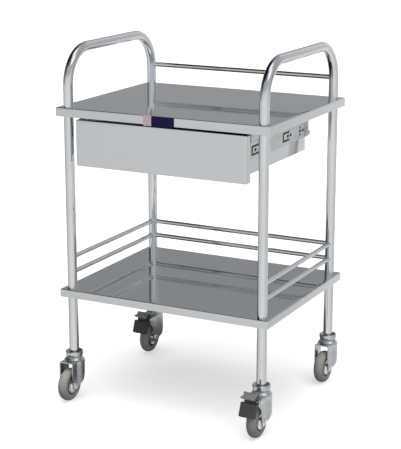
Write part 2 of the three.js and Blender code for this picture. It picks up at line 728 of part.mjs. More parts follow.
addPiece(cart, 'drawer_front', drawerFront(), 'sheet');
addPiece(cart, 'drawer_box', drawerBox(), 'sheet');

for (const [name, geometry] of [
  ['slide_hanger', slideHanger()],
  ['slide_outer', slideOuter()],
  ['slide_middle', join([slideMiddle()])],
  ['slide_inner', join([slideInner()])],
]) {
  addPiece(cart, `right_${name}`, geometry, 'zinc');
  addPiece(cart, `left_${name}`, mirrored(geometry), 'zinc');
}

for (const [name, x, y, swivel, braked] of [
  ['front_left', -LEG_X, -LEG_Y, 0, false],
  ['front_right', LEG_X, -LEG_Y, 1, true],
  ['back_left', -LEG_X, LEG_Y, 1, true],
  ['back_right', LEG_X, LEG_Y, -1, false],
]) {
  addCaster(cart, name, x, y, swivel, braked);
}

// The origin is the middle of the bounding box's underside.
const bounds = new THREE.Box3().setFromObject(cart);
const middle = bounds.getCenter(new THREE.Vector3());
cart.position.set(-middle.x, -middle.y, -bounds.min.z);

export default cart;
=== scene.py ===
"""Looks of the instrument cart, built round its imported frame.

Shapes are drawn in millimetres, in a place of their own (the cart's middle on the floor, a
caster's leg axis, a wheel's centre), and turned into metres when a piece is made.
"""

import json
import math

import bmesh
import bpy
from mathutils import Matrix, Vector


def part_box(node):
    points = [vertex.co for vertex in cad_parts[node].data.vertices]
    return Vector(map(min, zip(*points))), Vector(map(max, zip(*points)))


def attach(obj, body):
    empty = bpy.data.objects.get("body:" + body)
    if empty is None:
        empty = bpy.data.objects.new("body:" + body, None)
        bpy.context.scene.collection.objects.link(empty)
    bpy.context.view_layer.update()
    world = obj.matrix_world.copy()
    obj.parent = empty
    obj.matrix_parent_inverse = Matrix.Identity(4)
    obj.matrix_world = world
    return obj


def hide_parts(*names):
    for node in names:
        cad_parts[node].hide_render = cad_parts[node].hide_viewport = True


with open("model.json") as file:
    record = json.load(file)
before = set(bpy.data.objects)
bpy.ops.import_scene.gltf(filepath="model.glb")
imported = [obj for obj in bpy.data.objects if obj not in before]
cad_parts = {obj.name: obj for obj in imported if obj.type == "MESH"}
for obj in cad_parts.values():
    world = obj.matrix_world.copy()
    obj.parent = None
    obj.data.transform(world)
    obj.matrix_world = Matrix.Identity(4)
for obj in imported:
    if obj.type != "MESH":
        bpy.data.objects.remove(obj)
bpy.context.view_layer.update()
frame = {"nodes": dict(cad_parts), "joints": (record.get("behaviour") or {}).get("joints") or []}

MM = 0.001
X_AXIS = Vector((1, 0, 0))
Y_AXIS = Vector((0, 1, 0))
Z_AXIS = Vector((0, 0, 1))
SHELF_LOW, SHELF_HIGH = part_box("top_shelf")
CART_MIDDLE = ((SHELF_LOW + SHELF_HIGH) / 2).xy.to_3d()
CART = Matrix.Translation(CART_MIDDLE)


def corners(node, place=CART):
    """A node's lowest and highest corner in millimetres, seen from a place that isn't turned."""
    low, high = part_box(node)
    return (low - place.translation) / MM, (high - place.translation) / MM


def size(node):
    low, high = corners(node)
    return high - low


def centre(node):
    low, high = corners(node)
    return (low + high) / 2


# ---- Outlines ----

# A rounded corner takes up less than half of the sides beside it.
ROUNDING_SHARE = 0.49


def rounded(points, steps=5, closed=True):
    """An outline whose points (x, y, radius) have their corners rounded by that radius."""
    count = len(points)
    outline = []
    for index, (x, y, *radius) in enumerate(points):
        corner = Vector((x, y))
        at_end = not closed and index in (0, count - 1)
        if at_end or not radius or radius[0] <= 0:
            outline.append(corner)
            continue
        before = Vector(points[index - 1][:2]) - corner
        after = Vector(points[(index + 1) % count][:2]) - corner
        half_angle = before.angle(after) / 2
        room = ROUNDING_SHARE * min(before.length, after.length)
        reach = min(radius[0] / math.tan(half_angle), room)
        bend = reach * math.tan(half_angle)
        start = corner + before.normalized() * reach
        end = corner + after.normalized() * reach
        inward = (before.normalized() + after.normalized()).normalized()
        middle = corner + inward * bend / math.sin(half_angle)
        for step in range(steps + 1):
            arm = (start - middle).slerp(end - middle, step / steps).normalized()
            outline.append(middle + arm * bend)
    return outline


def bent_strip(centre_line, thickness, steps=5):
    """The closed outline of a strip of even thickness round a centre line of (x, y, bend radius)."""
    line = rounded(centre_line, steps, closed=False)
    sides = ([], [])
    for index, point in enumerate(line):
        before = (point - line[index - 1]).normalized() if index else (line[1] - point).normalized()
        after = (line[index + 1] - point).normalized() if index + 1 < len(line) else before
        along = (before + after).normalized()
        stretch = thickness / 2 / max(along.dot(before), 0.5)
        offset = Vector((-along.y, along.x)) * stretch
        sides[0].append(point + offset)
        sides[1].append(point - offset)
    return sides[0] + sides[1][::-1]


def rounded_rectangle(half_x, half_y, radius, steps=6):
    return rounded([
        (half_x, half_y, radius), (-half_x, half_y, radius),
        (-half_x, -half_y, radius), (half_x, -half_y, radius),
    ], steps)


def turns_round(segments):
    """The angles that part a full turn evenly."""
    return [2 * math.pi * step / segments for step in range(segments)]


def circle(radius, segments, middle=(0, 0)):
    return [
        Vector((middle[0] + radius * math.cos(turn), middle[1] + radius * math.sin(turn)))
        for turn in turns_round(segments)]


# ---- Meshes ----

SAME_POINT = 1e-4
SAME_POINT_DIGITS = 4
BEVEL_SEGMENTS = 3


def onto_x(point, level):
    """Takes a (y, z) outline point to its place in space."""
    return Vector((level, point[0], point[1]))


def onto_y(point, level):
    """Takes an (x, z) outline point to its place in space."""
    return Vector((point[0], level, point[1]))


def onto_z(point, level):
    """Takes an (x, y) outline point to its place in space."""
    return Vector((point[0], point[1], level))


def skin(mesh, loops, wrapped=False):
    """Stretches quads through loops of equal length, with UVs that measure along and round them.

    The last loop joins the first when it is wrapped; otherwise both are closed by a face.
    """
    uv_layer = mesh.loops.layers.uv.verify()
    rows = [[mesh.verts.new(point) for point in loop] for loop in loops]
    pairs = list(zip(rows, rows[1:]))
    if wrapped:
        pairs.append((rows[-1], rows[0]))
    count = len(rows[0])
    along = 0
    for low, high in pairs:
        step = (high[0].co - low[0].co).length
        round_it = 0
        for index in range(count):
            following = (index + 1) % count
            width = (low[following].co - low[index].co).length
            quad = (low[index], low[following], high[following], high[index])
            if len({vertex.co.to_tuple(SAME_POINT_DIGITS) for vertex in quad}) > 2:
                face = mesh.faces.new(quad)
                places = ((0, 0), (1, 0), (1, 1), (0, 1))
                for loop, (side, end) in zip(face.loops, places):
                    loop[uv_layer].uv = ((along + end * step) * MM, (round_it + side * width) * MM)
            round_it += width
        along += step
    if not wrapped:
        mesh.faces.new(rows[0])
        mesh.faces.new(rows[-1])


def turned(mesh, profile, segments, axis=Z_AXIS):
    """Turns a closed [radius, height] profile about an axis through the origin."""
    side = Y_AXIS if axis == X_AXIS else X_AXIS
    other = axis.cross(side)
    loops = []
    for turn in turns_round(segments):
        out = side * math.cos(turn) + other * math.sin(turn)
        loops.append([out * radius + axis * height for radius, height in profile])
    skin(mesh, loops, wrapped=True)


def both_halves(side):
    """A turned profile from its right half, (radius, height, rounding) points, and its mirror image."""
    return side + [(radius, -height, *bend) for radius, height, *bend in side[::-1]]


def prism(mesh, outline, low, high, onto):
    """A solid of one outline between two levels."""
    skin(mesh, [[onto(point, level) for point in outline] for level in (low, high)])


def box(mesh, low, high):
    """A solid box between two corners."""
    outline = [(low[0], low[1]), (high[0], low[1]), (high[0], high[1]), (low[0], high[1])]
    prism(mesh, outline, low[2], high[2], onto_z)


def finished(name, mesh):
    """The mesh data of a drawn mesh, with coinciding points joined and its faces turned outwards."""
    bmesh.ops.remove_doubles(mesh, verts=mesh.verts, dist=SAME_POINT)
    bmesh.ops.recalc_face_normals(mesh, faces=mesh.faces)
    data = bpy.data.meshes.new(name)
    mesh.to_mesh(data)
    return data


def new_object(name, data):
    """A new object in the scene."""
    made = bpy.data.objects.new(name, data)
    bpy.context.scene.collection.objects.link(made)
    return made


def combine(mesh, tool, operation, overlapping=False):
    """Joins, cuts or intersects one drawn mesh with another, whose own parts may overlap."""
    objects = []
    for part in (mesh, tool):
        objects.append(new_object("part", finished("part", part)))
        part.free()
    base, other = objects
    modifier = base.modifiers.new("combine", "BOOLEAN")
    modifier.operation = operation
    modifier.object = other
    modifier.solver = "EXACT"
    modifier.use_self = overlapping
    graph = bpy.context.evaluated_depsgraph_get()
    result = bmesh.new()
    result.from_mesh(base.evaluated_get(graph).to_mesh())
    for made in objects:
        data = made.data
        bpy.data.objects.remove(made)
        bpy.data.meshes.remove(data)
    return result


def add_piece(name, mesh, material, body, stands_for=(), place=CART, edge=0, sharp=32):
    """Makes a piece of the drawn mesh: in metres, smooth, softened at its edges, riding on its body."""
    data = finished(name, mesh)
    mesh.free()
    data.transform(Matrix.Scale(MM, 4))
    for polygon in data.polygons:
        polygon.use_smooth = True
    data.set_sharp_from_angle(angle=math.radians(sharp))
    data.materials.append(material)
    piece = new_object(name, data)
    piece.matrix_world = place
    if edge:
        bevel = piece.modifiers.new("soft_edges", "BEVEL")
        bevel.width = edge * MM
        bevel.segments = BEVEL_SEGMENTS
        bevel.limit_method = "ANGLE"
        bevel.angle_limit = math.radians(sharp)
        bevel.harden_normals = True
        bevel.miter_outer = "MITER_ARC"
    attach(piece, body)
    if stands_for:
        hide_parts(*stands_for)


# ---- Materials ----

WHITE = (1, 1, 1, 1)
BLACK = (0, 0, 0, 1)


class Nodes:
    """Adds shader nodes to a tree, linking or setting what is given as their inputs."""

    def __init__(self, tree):
        self.tree = tree

    def set(self, node, inputs):
        for key, value in inputs.items():
            socket = node.inputs[key]
            if isinstance(value, bpy.types.NodeSocket):
                self.tree.links.new(value, socket)
            else:
                socket.default_value = value

    def node(self, kind, inputs, **settings):
        node = self.tree.nodes.new("ShaderNode" + kind)
        for key, value in settings.items():
            setattr(node, key, value)
        self.set(node, inputs)
        return node

    def math(self, operation, *values):
        return self.node("Math", dict(enumerate(values)), operation=operation).outputs[0]

    def stretch(self, value, start, end, low=0.0, high=1.0, eased=True):
        """Turns start to end into low to high, held at both ends."""
        inputs = {"Value": value, "From Min": start, "From Max": end, "To Min": low, "To Max": high}
        course = "SMOOTHSTEP" if eased else "LINEAR"
        return self.node("MapRange", inputs, interpolation_type=course).outputs[0]

    def blend(self, factor, first, second, blend_type="MIX"):
        inputs = {"Fac": factor, "Color1": first, "Color2": second}
        return self.node("MixRGB", inputs, blend_type=blend_type).outputs[0]

    def ramp(self, factor, stops):
        """A blend through (position, colour) stops."""
        node = self.node("ValToRGB", {"Fac": factor})
        elements = node.color_ramp.elements
        while len(elements) < len(stops):
            elements.new(0.5)
        for element, (position, colour) in zip(elements, stops):
            element.position = position
            element.color = (*colour, 1)
        return node.outputs["Color"]


class Recipe(Nodes):
    """A material under construction."""

    def __init__(self, name, **constants):
        self.material = bpy.data.materials.new(name + "_look")
        self.material["slot"] = name
        self.material.use_nodes = True
        super().__init__(self.material.node_tree)
        self.shader = self.tree.nodes["Principled BSDF"]
        self.set(self.shader, constants)

    def coordinates(self, scale=(1, 1, 1), source="Object"):
        origin = self.node("TexCoord", {}).outputs[source]
        return self.node("Mapping", {"Vector": origin, "Scale": scale}).outputs["Vector"]

    def noise(self, vector, scale, detail=2.0, roughness=0.5):
        inputs = {"Vector": vector, "Scale": scale, "Detail": detail, "Roughness": roughness}
        return self.node("TexNoise", inputs).outputs["Fac"]

    def between(self, factor, low, high, from_low=0.3, from_high=0.7):
        """Spreads a noise's middle range over low to high."""
        return self.stretch(factor, from_low, from_high, low, high, eased=False)

    def bump(self, height, distance, strength=1.0, over=None):
        inputs = {"Height": height, "Distance": distance, "Strength": strength}
        if over:
            inputs["Normal"] = over
        return self.node("Bump", inputs).outputs["Normal"]

    def finish(self, **sockets):
        names = {"colour": "Base Color", "roughness": "Roughness", "normal": "Normal"}
        self.set(self.shader, {names[key]: value for key, value in sockets.items()})
        return self.material


def grey(level, tint=(0.975, 1.0, 1.02)):
    return tuple(level * part for part in tint)


def polished_tube():
    """Drawn and buffed tube: near mirror, with fine rings left by the buffing wheel."""
    recipe = Recipe("polished_tube", Metallic=1.0)
    rings = recipe.noise(recipe.coordinates((2600, 14, 1), "UV"), 1.0, 3.0)
    haze = recipe.noise(recipe.coordinates(), 9.0, 4.0)
    colour = recipe.ramp(haze, [(0.3, grey(0.60)), (0.7, grey(0.66))])
    roughness = recipe.between(haze, 0.03, 0.07)
    return recipe.finish(
        colour=colour, roughness=roughness, normal=recipe.bump(rings, 0.000006, 0.3))


def brushed_sheet():
    """Folded stainless sheet with a fine satin grain along the cart's width and faint handling marks."""
    recipe = Recipe("brushed_sheet", Metallic=1.0)
    grain = recipe.noise(recipe.coordinates((6, 900, 900)), 1.0, 3.0, 0.6)
    smudge = recipe.noise(recipe.coordinates((3, 5, 5)), 1.6, 4.0)
    waves = recipe.noise(recipe.coordinates((1, 1, 1)), 3.5, 1.0)
    colour = recipe.ramp(grain, [(0.3, grey(0.575)), (0.7, grey(0.595))])
    roughness = recipe.between(smudge, 0.05, 0.09)
    fine = recipe.bump(grain, 0.000003, 0.25)
    return recipe.finish(
        colour=colour, roughness=roughness, normal=recipe.bump(waves, 0.0006, 0.35, fine))


def zinc(name, light, dark, low_roughness, high_roughness, metallic=1.0):
    """Zinc plating: cloudy patches over a faintly pitted surface."""
    recipe = Recipe(name, Metallic=metallic)
    place = recipe.coordinates()
    cloud = recipe.noise(place, 55.0, 4.0, 0.6)
    pits = recipe.noise(place, 900.0, 2.0)
    colour = recipe.ramp(cloud, [(0.3, grey(dark)), (0.7, grey(light))])
    roughness = recipe.between(cloud, high_roughness, low_roughness)
    return recipe.finish(colour=colour, roughness=roughness, normal=recipe.bump(pits, 0.00002, 0.5))


def bright_metal():
    """Bright plated turnings, with fine rings of the lathe about their axis."""
    recipe = Recipe("bright_metal", Metallic=1.0)
    place = recipe.coordinates()
    wave = {"Vector": place, "Scale": 700.0, "Distortion": 0.4}
    rings = recipe.node("TexWave", wave, wave_type="RINGS", rings_direction="X").outputs["Fac"]
    haze = recipe.noise(place, 60.0, 3.0)
    colour = recipe.ramp(haze, [(0.3, grey(0.74)), (0.7, grey(0.86))])
    return recipe.finish(
        colour=colour, roughness=recipe.between(haze, 0.2, 0.32), normal=recipe.bump(rings, 0.00001, 0.4))


def grey_tyre():
    """Matt grey rubber, dusty and scuffed along the tread."""
    recipe = Recipe("grey_tyre", Metallic=0.0)
    recipe.set(recipe.shader, {"Specular IOR Level": 0.35})
    place = recipe.coordinates()
    cloud = recipe.noise(place, 45.0, 4.0, 0.6)
    grain = recipe.noise(place, 1400.0, 3.0)
    scuff = recipe.noise(recipe.coordinates((260, 40, 40)), 1.0, 3.0)
    body = recipe.ramp(cloud, [(0.3, (0.265, 0.265, 0.247)), (0.7, (0.315, 0.315, 0.293))])
    dust = recipe.between(scuff, 0.0, 0.35, from_low=0.5, from_high=0.75)
    colour = recipe.blend(dust, body, (0.38, 0.38, 0.357, 1))
    return recipe.finish(
        colour=colour, roughness=recipe.between(cloud, 0.62, 0.78), normal=recipe.bump(grain, 0.00006, 0.6))


def black_plastic():
    """Moulded plastic with a spark-eroded grain and slight wear."""
    recipe = Recipe("black_plastic", Metallic=0.0)
    place = recipe.coordinates()
    cloud = recipe.noise(place, 40.0, 4.0)
    grain = recipe.node("TexVoronoi", {"Vector": place, "Scale": 1500.0}).outputs["Distance"]
    colour = recipe.ramp(cloud, [(0.3, (0.034, 0.034, 0.036)), (0.7, (0.050, 0.050, 0.053))])
    return recipe.finish(
        colour=colour, roughness=recipe.between(cloud, 0.42, 0.56), normal=recipe.bump(grain, 0.00005, 0.5))


def label_film():
    """A blank two-tone printed film: a pale square at its left, navy beside it."""
    low = corners("label_plate")[0]
    recipe = Recipe("label", Metallic=0.0)
    recipe.set(recipe.shader, {"Specular IOR Level": 0.12, "Coat Weight": 0.1, "Coat Roughness": 0.12})
    place = recipe.coordinates()
    across = recipe.node("SeparateXYZ", {"Vector": place}).outputs["X"]
    edge = (low.x + LABEL_PALE_WIDTH) * MM
    side = recipe.between(across, 0.0, 1.0, edge - LABEL_BLUR * MM, edge + LABEL_BLUR * MM)
    fade = recipe.noise(place, 160.0, 3.0)
    pale = recipe.ramp(fade, [(0.3, (0.66, 0.49, 0.56)), (0.7, (0.72, 0.54, 0.61))])
    navy = recipe.ramp(fade, [(0.3, (0.003, 0.001, 0.046)), (0.7, (0.005, 0.002, 0.058))])
    fibre = recipe.noise(place, 2200.0, 2.0)
    return recipe.finish(
        colour=recipe.blend(side, pale, navy), roughness=recipe.between(fade, 0.3, 0.4),
        normal=recipe.bump(fibre, 0.00001, 0.3))


LABEL_PALE_WIDTH = 22.5
LABEL_BLUR = 0.1
POLISHED = polished_tube()
SHEET_STEEL = brushed_sheet()
ZINC_SLIDE = zinc("zinc_slide", 0.60, 0.52, 0.28, 0.40)
ZINC_CASTER = zinc("zinc_caster", 0.64, 0.48, 0.22, 0.36)
DARK_STEEL = zinc("dark_steel", 0.30, 0.21, 0.34, 0.5, metallic=0.5)
BRIGHT = bright_metal()
TYRE_RUBBER = grey_tyre()
BLACK_PLASTIC = black_plastic()
LABEL_FILM = label_film()

# ---- Handle frames ----

TUBE_WALL = 1.2
HANDLE_BEND_RADIUS = 93
HANDLE_BEND_STEPS = 28
TUBE_SEGMENTS = 64
DECK_WELD = 1.8
# A weld bead's section, in bead sizes out from the tube and down from the sheet.
WELD_SECTION = ((-0.4, -0.3), (1.0, -0.3), (0.75, 0.3), (0.3, 0.75), (-0.4, 1.0))
WELD_SEGMENTS = 72
WELD_RIPPLES = 30
WELD_RIPPLE_DEPTH = 0.07
TUBE_RADIUS = size("left_handle_frame").x / 2
LEG_X = centre("right_handle_frame").x
LEG_Y = size("left_handle_frame").y / 2 - TUBE_RADIUS
LEG_FOOT = corners("left_handle_frame")[0].z
HANDLE_TOP = corners("left_handle_frame")[1].z - TUBE_RADIUS


def handle_route():
    """Points and directions of an inverted U in the (y, z) plane."""
    reach = LEG_Y - HANDLE_BEND_RADIUS
    level = HANDLE_TOP - HANDLE_BEND_RADIUS
    quarter = math.pi / 2
    stations = [(Vector((0, -LEG_Y, LEG_FOOT)), Z_AXIS)]
    for middle_y, first_turn in ((-reach, 0), (reach, quarter)):
        middle = Vector((0, middle_y, level))
        for step in range(HANDLE_BEND_STEPS + 1):
            turn = first_turn + quarter * step / HANDLE_BEND_STEPS
            arm = Vector((0, -math.cos(turn), math.sin(turn)))
            direction = Vector((0, math.sin(turn), math.cos(turn)))
            stations.append((middle + arm * HANDLE_BEND_RADIUS, direction))
    stations.append((Vector((0, LEG_Y, LEG_FOOT)), -Z_AXIS))
    return stations


def tube_loops(stations, radius):
    loops = []
    for point, direction in stations:
        other = direction.cross(X_AXIS)
        ring = circle(radius, TUBE_SEGMENTS)
        loops.append([point + X_AXIS * p.x + other * p.y for p in ring])
    return loops


def weld_ring(mesh, middle):
    """A fillet bead round a leg, beneath a sheet that it passes."""
    loops = []
    for turn in turns_round(WELD_SEGMENTS):
        out = Vector((math.cos(turn), math.sin(turn), 0))
        bead = DECK_WELD * (1 + WELD_RIPPLE_DEPTH * math.sin(WELD_RIPPLES * turn))
        loops.append([
            middle + out * (TUBE_RADIUS + across * bead) - Z_AXIS * (drop * bead)
            for across, drop in WELD_SECTION])
    skin(mesh, loops, wrapped=True)


def make_handle_frames():
    for side, x in (("left", -LEG_X), ("right", LEG_X)):
        mesh = bmesh.new()
        route = [(point + X_AXIS * x, direction) for point, direction in handle_route()]
        outer = tube_loops(route, TUBE_RADIUS)
        inner = tube_loops(route, TUBE_RADIUS - TUBE_WALL)
        skin(mesh, outer + inner[::-1], wrapped=True)
        add_piece(f"{side}_handle_tube", mesh, POLISHED, "frame", [f"{side}_handle_frame"])


# ---- Rails ----

RAIL_WALL = 1.0
RAIL_SEGMENTS = 40
RAIL_SINK = 0.15
RAIL_BEAD = 1.3
RAIL_BEAD_SEGMENTS = 10
RAIL_BEAD_RIPPLES = 10
RAIL_BEAD_RIPPLE_DEPTH = 0.08


def make_rail(node, start, end):
    """A tube coped to the legs at both ends, with its weld beads."""
    start, end = Vector(start), Vector(end)
    along = (end - start).normalized()
    across = Z_AXIS.cross(along)
    radius = size(node).z / 2
    bore = radius - RAIL_WALL
    turns = turns_round(RAIL_SEGMENTS)
    ends = ((start, along), (end, -along))

    def end_loop(distance, leg, inward):
        """A round of the rail, reaching in from a leg's axis to the leg's surface."""
        loop = []
        for turn in turns:
            out = across * math.cos(turn) + Z_AXIS * math.sin(turn)
            beside = distance * math.cos(turn)
            reach = math.sqrt(TUBE_RADIUS ** 2 - beside ** 2) - RAIL_SINK
            loop.append(leg + inward * reach + out * distance)
        return loop

    mesh = bmesh.new()
    outside = [end_loop(radius, *place) for place in ends]
    inside = [end_loop(bore, *place) for place in ends]
    skin(mesh, outside + inside[::-1], wrapped=True)
    for (leg, inward), rim in zip(ends, outside):
        loops = []
        for turn, point in zip(turns, rim):
            out = across * math.cos(turn) + Z_AXIS * math.sin(turn)
            bead = RAIL_BEAD * (1 + RAIL_BEAD_RIPPLE_DEPTH * math.sin(RAIL_BEAD_RIPPLES * turn))
            ring = circle(bead, RAIL_BEAD_SEGMENTS)
            loops.append([point + out * p.x + inward * p.y for p in ring])
        skin(mesh, loops, wrapped=True)
    add_piece(node + "_tube", mesh, POLISHED, "frame", [node])


def make_rails():
    back_left, back_right = (-LEG_X, LEG_Y), (LEG_X, LEG_Y)
    legs = {
        "left": ((-LEG_X, -LEG_Y), back_left),
        "right": ((LEG_X, -LEG_Y), back_right),
        "back": (back_left, back_right),
    }
    rails = [(f"{side}_{level}_rail", side) for level in ("lower", "upper") for side in legs]
    for node, side in [*rails, ("top_back_rail", "back")]:
        height = centre(node).z
        start, end = legs[side]
        make_rail(node, (*start, height), (*end, height))


# ---- Folded sheet pans ----

SHEET = 1.2
HEM = 12
FOLD_RADIUS = 1.8
CORNER_RADIUS = 2.5
LEAST_CORNER_RADIUS = 0.4
FLAT_MARGIN = 20
LEG_HOLE_GAP = 0.2
LEG_HOLE_SEGMENTS = 48


def pan(mesh, half_x, half_y, depth, hem, place):
    """A pan folded from sheet: a flat face at level 0, walls going down and a hem turned inwards."""
    half = SHEET / 2
    fold = FOLD_RADIUS - half
    line = [(half + FLAT_MARGIN, -half), (half, -half, fold)]
    if hem:
        line += [(half, half - depth, fold), (hem, half - depth)]
    else:
        line.append((half, -depth))
    section = bent_strip(line, SHEET)

    def ring(inset, level):
        radius = max(CORNER_RADIUS - inset, LEAST_CORNER_RADIUS)
        outline = rounded_rectangle(half_x - inset, half_y - inset, radius)
        return [place @ onto_z(point, level) for point in outline]

    skin(mesh, [ring(inset, level) for inset, level in section])


def make_shelves():
    legs = [(x, y) for x in (-LEG_X, LEG_X) for y in (-LEG_Y, LEG_Y)]
    for node in ("top_shelf", "lower_shelf"):
        low, high = corners(node)
        mesh = bmesh.new()
        pan(mesh, high.x, high.y, high.z - low.z, HEM, Matrix.Translation((0, 0, high.z)))
        drills = bmesh.new()
        for leg in legs:
            hole = circle(TUBE_RADIUS + LEG_HOLE_GAP, LEG_HOLE_SEGMENTS, leg)
            prism(drills, hole, low.z + 2 * SHEET, high.z + SHEET, onto_z)
        mesh = combine(mesh, drills, "DIFFERENCE")
        add_piece(node + "_pan", mesh, SHEET_STEEL, "frame", [node])
        welds = bmesh.new()
        for x, y in legs:
            weld_ring(welds, Vector((x, y, high.z - SHEET)))
        add_piece(node + "_leg_welds", welds, POLISHED, "frame")


# ---- Drawer ----

DRAWER_LIP = 10
DRAWER_FOLD = 2.2
DRAWER_FOLD_INSIDE = 1.2
DRAWER_LIP_FOLD = 1.1
DRAWER_CORNER = 3
LEAST_DRAWER_CORNER = 0.5


def make_drawer():
    half, middle = size("drawer_front") / 2, centre("drawer_front")
    turn = Matrix(((1, 0, 0), (0, 0, -1), (0, 1, 0))).to_4x4()
    place = Matrix.Translation((middle.x, middle.y - half.y, middle.z)) @ turn
    mesh = bmesh.new()
    pan(mesh, half.x, half.z, 2 * half.y, 0, place)
    add_piece("drawer_front_pan", mesh, SHEET_STEEL, "drawer", ["drawer_front"])

    half, middle = size("drawer_box") / 2, centre("drawer_box")
    low, high = corners("drawer_box")
    lip = high.z - DRAWER_LIP
    section = rounded([
        (FLAT_MARGIN, low.z), (0, low.z, DRAWER_FOLD), (0, high.z, DRAWER_LIP_FOLD),
        (2 * SHEET, high.z, DRAWER_LIP_FOLD), (2 * SHEET, lip), (SHEET, lip),
        (SHEET, low.z + SHEET, DRAWER_FOLD_INSIDE), (FLAT_MARGIN, low.z + SHEET),
    ], closed=False)
    mesh = bmesh.new()
    loops = []
    for inset, level in section:
        radius = max(DRAWER_CORNER - inset, LEAST_DRAWER_CORNER)
        outline = rounded_rectangle(half.x - inset, half.y - inset, radius)
        loops.append([onto_z(point + middle.xy, level) for point in outline])
    skin(mesh, loops)
    add_piece("drawer_tray", mesh, SHEET_STEEL, "drawer", ["drawer_box"])


# ---- Drawer slides, drawn for the right side (+X) and mirrored for the left ----

SLIDE_SHEET = 1.2
SLIDE_BEND = 1.4
SLIDE_LIP = 2.4
HOOK_STARTS = (0, 184)
HOOK_LENGTH = 46
HOOK_HEIGHT = 25
HOOK_CUT = 5
HOOK_STEM = 8
SLOT_STATIONS = (28, 221, 239, 298, 316)
SLOT_SIZE = (12, 7)
HOLE_PAIR_STATIONS = (104, 298)
HOLE_PAIR_SIZE = (9, 5.5)
HOLE_PAIR_OFFSET = 9
HANGER_TAB_STATIONS = (76, 340)
HANGER_TAB_WIDTH = 20
HANGER_LUG_HEIGHT = 12
HANGER_STRIP_BOTTOM = 741
HANGER_FLANGE = 24
HANGER_SHEET = 1.5
HANGER_BEND = 1.8
HANGER_LUG_OVERLAP = 4
HANGER_SCREW_RADIUS = 4
HANGER_SCREW_HEAD = 2.2
# Sizes of the dark sheet behind the outer member's web, painted shade seen through its cut-outs.
SHADE_SHEET_HALF = 15
SHADE_SHEET_THICKNESS = 0.5
SHADE_SHEET_GAP = 0.1
WEB_STEP = 2.2
MIDDLE_BEND = 1.2
WEB_BEND = 1
SLIDE_AXIS = centre("right_slide_outer").z


def strip(low, high, line, steps=5):
    """A slide member as long as its box, folded along a centre line of (x, z, bend radius)."""
    mesh = bmesh.new()
    prism(mesh, bent_strip(line, SLIDE_SHEET, steps), low.y, high.y, onto_y)
    return mesh


def slide_outer(low, high):
    face, lip = high.x - SLIDE_SHEET / 2, low.x + SLIDE_SHEET / 2
    edge, foot = high.z - SLIDE_SHEET / 2, low.z + SLIDE_SHEET / 2
    mesh = strip(low, high, [
        (lip, edge - SLIDE_LIP), (lip, edge, SLIDE_BEND), (face, edge, SLIDE_BEND),
        (face, foot, SLIDE_BEND), (lip, foot, SLIDE_BEND), (lip, foot + SLIDE_LIP)])
    tools = bmesh.new()

    def cut(outline, station, rise=0):
        placed_outline = [(low.y + station + p.x, SLIDE_AXIS + rise + p.y) for p in outline]
        prism(tools, placed_outline, high.x - 2 * SLIDE_SHEET, high.x + SLIDE_SHEET, onto_x)

    def slot(length, height):
        return rounded_rectangle(length / 2, height / 2, height / 3)

    half = HOOK_HEIGHT / 2
    stem = HOOK_CUT + HOOK_STEM
    hook = rounded([
        (HOOK_LENGTH, half), (HOOK_CUT, half, 2), (HOOK_CUT, -half, 2), (HOOK_LENGTH, -half),
        (HOOK_LENGTH, HOOK_CUT - half), (stem, HOOK_CUT - half, 1), (stem, half - HOOK_CUT, 1),
        (HOOK_LENGTH, half - HOOK_CUT)], 3)
    for start in HOOK_STARTS:
        cut(hook, start)
    for station in SLOT_STATIONS:
        cut(slot(*SLOT_SIZE), station)
    for station in HOLE_PAIR_STATIONS:
        for rise in (-HOLE_PAIR_OFFSET, HOLE_PAIR_OFFSET):
            cut(slot(*HOLE_PAIR_SIZE), station, rise)
    return combine(mesh, tools, "DIFFERENCE")


def slide_middle(low, high):
    """Its web steps in behind the outer member's cut-outs."""
    face = high.x - SLIDE_SHEET / 2
    inner = face - WEB_STEP
    edge, foot = high.z - SLIDE_SHEET / 2, low.z + SLIDE_SHEET / 2
    return strip(low, high, [
        (low.x, edge), (face, edge, MIDDLE_BEND), (face, edge - 4, WEB_BEND), (inner, edge - 5, WEB_BEND),
        (inner, foot + 5, WEB_BEND), (face, foot + 4, WEB_BEND), (face, foot, MIDDLE_BEND),
        (low.x, foot)], 3)


def slide_inner(low, high):
    face = low.x + SLIDE_SHEET / 2
    edge, foot = high.z - SLIDE_SHEET / 2, low.z + SLIDE_SHEET / 2
    return strip(low, high, [
        (high.x, edge), (face, edge, SLIDE_BEND), (face, foot, SLIDE_BEND), (high.x, foot)])


def cross_screw(radius, height):
    """A pan head with a cross recess, its seat at level 0."""
    head = bmesh.new()
    arm, slit = radius * 0.55, radius * 0.13
    profile = rounded([
        (0, -0.6), (radius, -0.6), (radius, height * 0.45, height * 0.4), (arm, height), (0, height)], 4)
    turned(head, profile, 28)
    tools = bmesh.new()
    box(tools, (-arm, -slit, height * 0.35), (arm, slit, height + 1))
    box(tools, (-slit, -arm, height * 0.3), (slit, arm, height + 2))
    return combine(head, tools, "DIFFERENCE", overlapping=True)


def placed(target, source, place):
    """Adds a drawn mesh to another at a place."""
    data = finished("copy", source)
    data.transform(place)
    target.from_mesh(data)
    bpy.data.meshes.remove(data)


